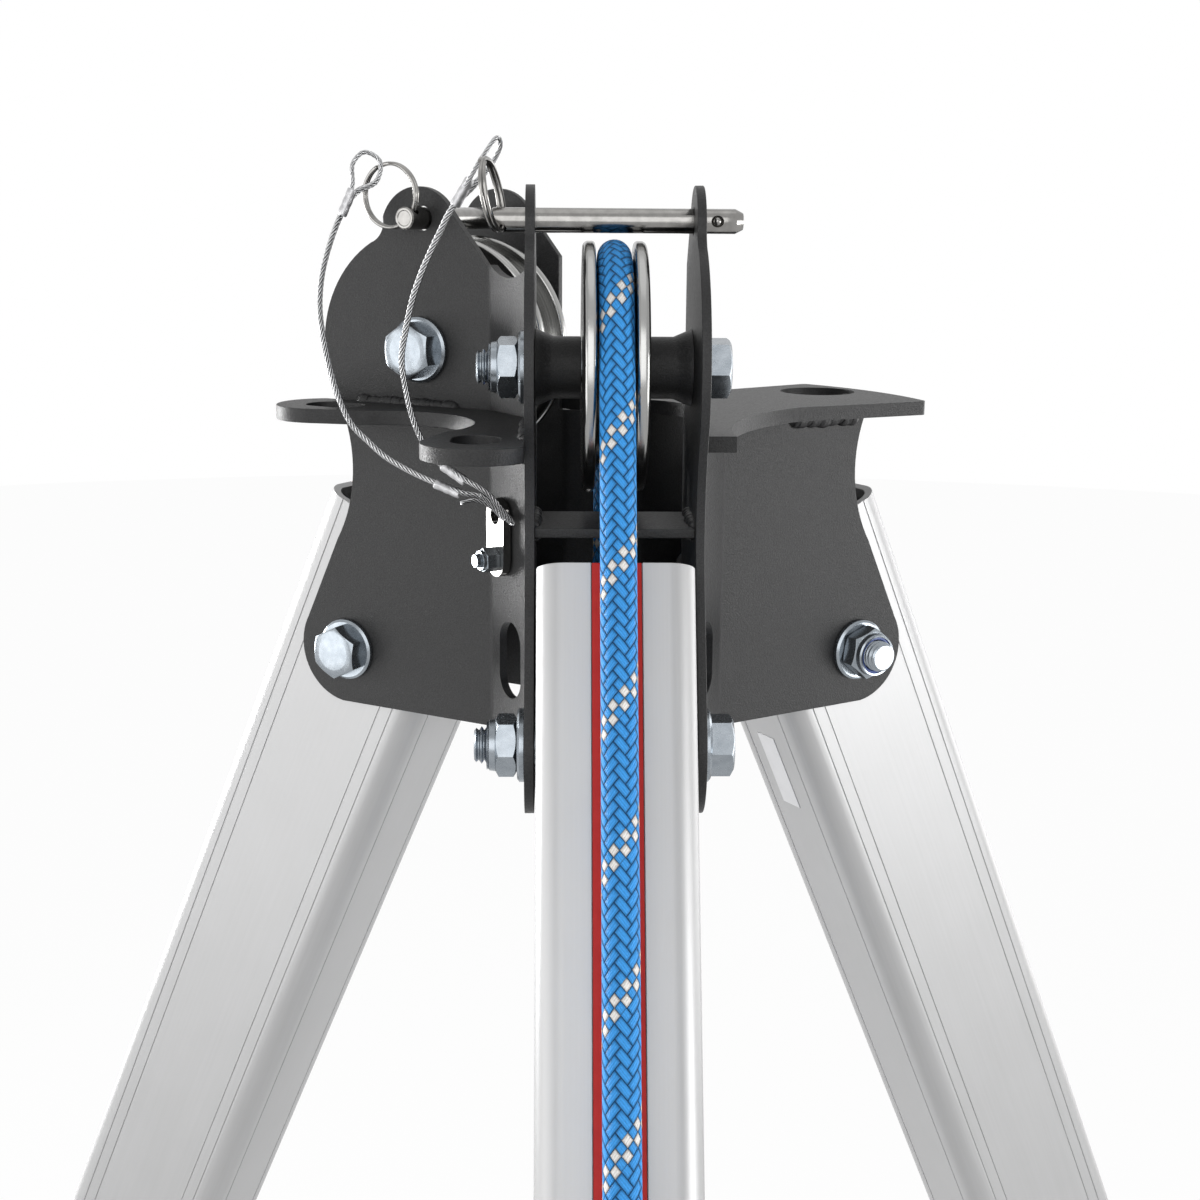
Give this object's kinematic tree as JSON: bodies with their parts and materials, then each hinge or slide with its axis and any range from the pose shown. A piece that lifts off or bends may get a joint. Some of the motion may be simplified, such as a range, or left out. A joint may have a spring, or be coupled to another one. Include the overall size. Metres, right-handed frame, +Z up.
{
  "type": "rescue tripod",
  "caption": "Rescue tripod head of bent plate with grooved pulleys on folding telescopic aluminium legs with hinged feet, rope and snap hook.",
  "frame": {"origin": "centre of the bounding box on the ground, with the three feet standing on it", "axes": "+Z up, -Y towards the front leg, +X towards the right leg's side"},
  "size_m": [1.2456, 1.0908, 1.4574],
  "materials": {
    "black_coat": "fine textured powder coat",
    "zinc": "zinc plated, bluish",
    "stainless": "ground stainless",
    "polished": "polished, lightly brushed",
    "bronze": "plain",
    "anodised": "satin anodised",
    "ferrule_alu": "crimped",
    "stripe_red": "matt",
    "label": "blank silver film",
    "black_plastic": "fine texture",
    "rubber": "moulded",
    "rope_blue": "kernmantle braid, blue with two white tracer strands",
    "sleeve_black": "stitched sleeve"
  },
  "bodies": {
    "head": {"head_plate_left": "black_coat", "head_plate_right": "black_coat", "head_plate_rear": "black_coat", "anchor_plate_left": "black_coat", "anchor_plate_right": "black_coat", "channel_braces": "black_coat", "pulley_spacers": "black_coat", "leg_stops": "black_coat", "head_bolts": "zinc", "head_lock_nuts": "zinc", "head_washers": "zinc", "lanyard_tabs": "stainless", "lanyard_screw": "zinc", "lanyard_nut": "zinc", "lanyard_front": "stainless", "lanyard_left": "stainless", "ferrules_front": "ferrule_alu", "ferrules_left": "ferrule_alu", "rope": "rope_blue", "rope_sleeves": "sleeve_black"},
    "pulley_front": {"pulley_front": "polished", "pulley_bush_front": "bronze"},
    "pulley_left": {"pulley_left": "polished", "pulley_bush_left": "bronze"},
    "pin_front": {"pin_front": "stainless", "ring_front": "stainless"},
    "pin_left": {"pin_left": "stainless", "ring_left": "stainless"},
    "outer_leg_front": {"outer_leg_front": "anodised", "stripe_front": "stripe_red", "collar_front": "black_coat", "rope_bracket": "black_coat"},
    "inner_leg_front": {"inner_leg_front": "anodised", "foot_plug_front": "black_plastic"},
    "clamp_knob_front": {"clamp_knob_front": "black_plastic"},
    "foot_front": {"shoe_front": "black_coat", "pad_front": "rubber", "foot_bolt_front": "zinc"},
    "outer_leg_left": {"outer_leg_left": "anodised", "stripe_left": "stripe_red", "collar_left": "black_coat"},
    "inner_leg_left": {"inner_leg_left": "anodised", "foot_plug_left": "black_plastic"},
    "clamp_knob_left": {"clamp_knob_left": "black_plastic"},
    "foot_left": {"shoe_left": "black_coat", "pad_left": "rubber", "foot_bolt_left": "zinc"},
    "outer_leg_right": {"outer_leg_right": "anodised", "stripe_right": "stripe_red", "collar_right": "black_coat", "label_right": "label"},
    "inner_leg_right": {"inner_leg_right": "anodised", "foot_plug_right": "black_plastic"},
    "clamp_knob_right": {"clamp_knob_right": "black_plastic"},
    "foot_right": {"shoe_right": "black_coat", "pad_right": "rubber", "foot_bolt_right": "zinc"},
    "snap_hook": {"snap_hook": "stainless"},
    "snap_gate": {"snap_gate": "stainless"},
    "screw_sleeve": {"screw_sleeve": "stainless"}
  },
  "joints": [
    {"name": "pulley_front_spin", "type": "hinge", "parent": "head", "child": "pulley_front", "pos_m": [0, 0.10359, 1.38296], "axis": [1, 0, 0], "continuous": true},
    {"name": "pulley_left_spin", "type": "hinge", "parent": "head", "child": "pulley_left", "pos_m": [-0.05473, 0.19839, 1.38296], "axis": [-0.5, -0.866, 0], "continuous": true},
    {"name": "pin_front_pull", "type": "slide", "parent": "head", "child": "pin_front", "axis": [-1, 0, 0], "range_m": [0, 0.06], "deforming": ["lanyard_front", "ferrules_front"]},
    {"name": "pin_left_pull", "type": "slide", "parent": "head", "child": "pin_left", "axis": [-0.5, -0.866, 0], "range_m": [0, 0.06], "deforming": ["lanyard_left", "ferrules_left"]},
    {"name": "leg_front_fold", "type": "hinge", "parent": "head", "child": "outer_leg_front", "pos_m": [0, 0.06679, 1.26426], "axis": [1, 0, 0], "range_deg": [0, 25], "deforming": ["rope", "rope_sleeves"]},
    {"name": "leg_front_extend", "type": "slide", "parent": "outer_leg_front", "child": "inner_leg_front", "axis": [0, -0.4226, -0.9063], "range_m": [0, 0.9]},
    {"name": "clamp_knob_front_turn", "type": "hinge", "parent": "outer_leg_front", "child": "clamp_knob_front", "pos_m": [0, -0.49093, 0.21021], "axis": [0, -0.9063, 0.4226], "range_deg": [0, 360]},
    {"name": "foot_front_tilt", "type": "hinge", "parent": "inner_leg_front", "child": "foot_front", "pos_m": [0, -0.50036, 0.048], "axis": [1, 0, 0], "range_deg": [-40, 20]},
    {"name": "leg_left_fold", "type": "hinge", "parent": "head", "child": "outer_leg_left", "pos_m": [-0.0866, 0.21679, 1.26426], "axis": [-0.5, -0.866, 0], "range_deg": [0, 25]},
    {"name": "leg_left_extend", "type": "slide", "parent": "outer_leg_left", "child": "inner_leg_left", "axis": [-0.366, 0.2113, -0.9063], "range_m": [0, 0.9]},
    {"name": "clamp_knob_left_turn", "type": "hinge", "parent": "outer_leg_left", "child": "clamp_knob_left", "pos_m": [-0.5696, 0.49565, 0.21021], "axis": [-0.7849, 0.4532, 0.4226], "range_deg": [0, 360]},
    {"name": "foot_left_tilt", "type": "hinge", "parent": "inner_leg_left", "child": "foot_left", "pos_m": [-0.57777, 0.50036, 0.048], "axis": [-0.5, -0.866, 0], "range_deg": [-40, 20]},
    {"name": "leg_right_fold", "type": "hinge", "parent": "head", "child": "outer_leg_right", "pos_m": [0.0866, 0.21679, 1.26426], "axis": [-0.5, 0.866, 0], "range_deg": [0, 25]},
    {"name": "leg_right_extend", "type": "slide", "parent": "outer_leg_right", "child": "inner_leg_right", "axis": [0.366, 0.2113, -0.9063], "range_m": [0, 0.9]},
    {"name": "clamp_knob_right_turn", "type": "hinge", "parent": "outer_leg_right", "child": "clamp_knob_right", "pos_m": [0.5696, 0.49565, 0.21021], "axis": [0.7849, 0.4532, 0.4226], "range_deg": [0, 360]},
    {"name": "foot_right_tilt", "type": "hinge", "parent": "inner_leg_right", "child": "foot_right", "pos_m": [0.57777, 0.50036, 0.048], "axis": [-0.5, 0.866, 0], "range_deg": [-40, 20]},
    {"name": "snap_hook_swing", "type": "hinge", "parent": "head", "child": "snap_hook", "pos_m": [0, 0.14549, 1.00967], "axis": [0, 1, 0], "range_deg": [-30, 30]},
    {"name": "snap_gate_open", "type": "hinge", "parent": "snap_hook", "child": "snap_gate", "pos_m": [0.022, 0.14549, 0.94266], "axis": [0, 1, 0], "range_deg": [-25, 0], "stiffness_Nm_per_rad": 0.02, "springref_deg": 5.73},
    {"name": "screw_sleeve_travel", "type": "slide", "parent": "snap_gate", "child": "screw_sleeve", "axis": [0, 0, 1], "range_m": [0, 0.01]}
  ]
}
